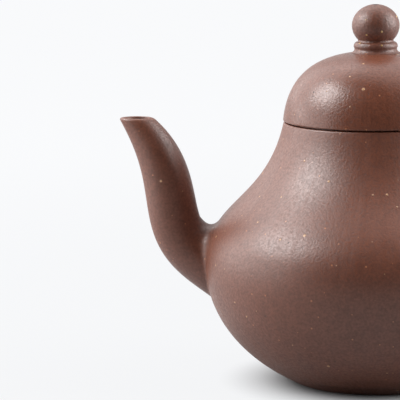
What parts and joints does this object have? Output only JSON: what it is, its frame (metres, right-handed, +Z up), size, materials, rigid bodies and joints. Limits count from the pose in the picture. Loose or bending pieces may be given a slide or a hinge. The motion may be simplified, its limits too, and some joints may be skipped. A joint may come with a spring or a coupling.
{
  "type": "yixing teapot",
  "caption": "Pear-shaped unglazed clay teapot with a curved spout, an ear handle and a domed lift-off lid with a ball knob, for brewing and pouring tea.",
  "frame": {"origin": "on the pot's axis, at the level of the table that it stands on", "axes": "+Z up along the pot's axis, -X towards the spout, +X towards the handle"},
  "size_m": [0.1154, 0.0796, 0.0878],
  "materials": {
    "burnished_clay": "burnished unglazed purple-brown clay with fine pale specks, satin",
    "raw_clay": "unpolished unglazed clay, matte"
  },
  "bodies": {
    "pot": {"body_wall": "burnished_clay", "base_disc": "burnished_clay", "mouth_ring": "raw_clay", "spout": "burnished_clay", "spout_strainer": "raw_clay", "handle": "burnished_clay"},
    "lid": {"lid_dome": "burnished_clay", "lid_collar": "raw_clay", "knob_collar": "burnished_clay", "knob_ball": "burnished_clay"}
  },
  "joints": [
    {"name": "lid_lift", "type": "slide", "parent": "pot", "child": "lid", "axis": [0, 0, 1], "range_m": [0, 0.06]}
  ]
}
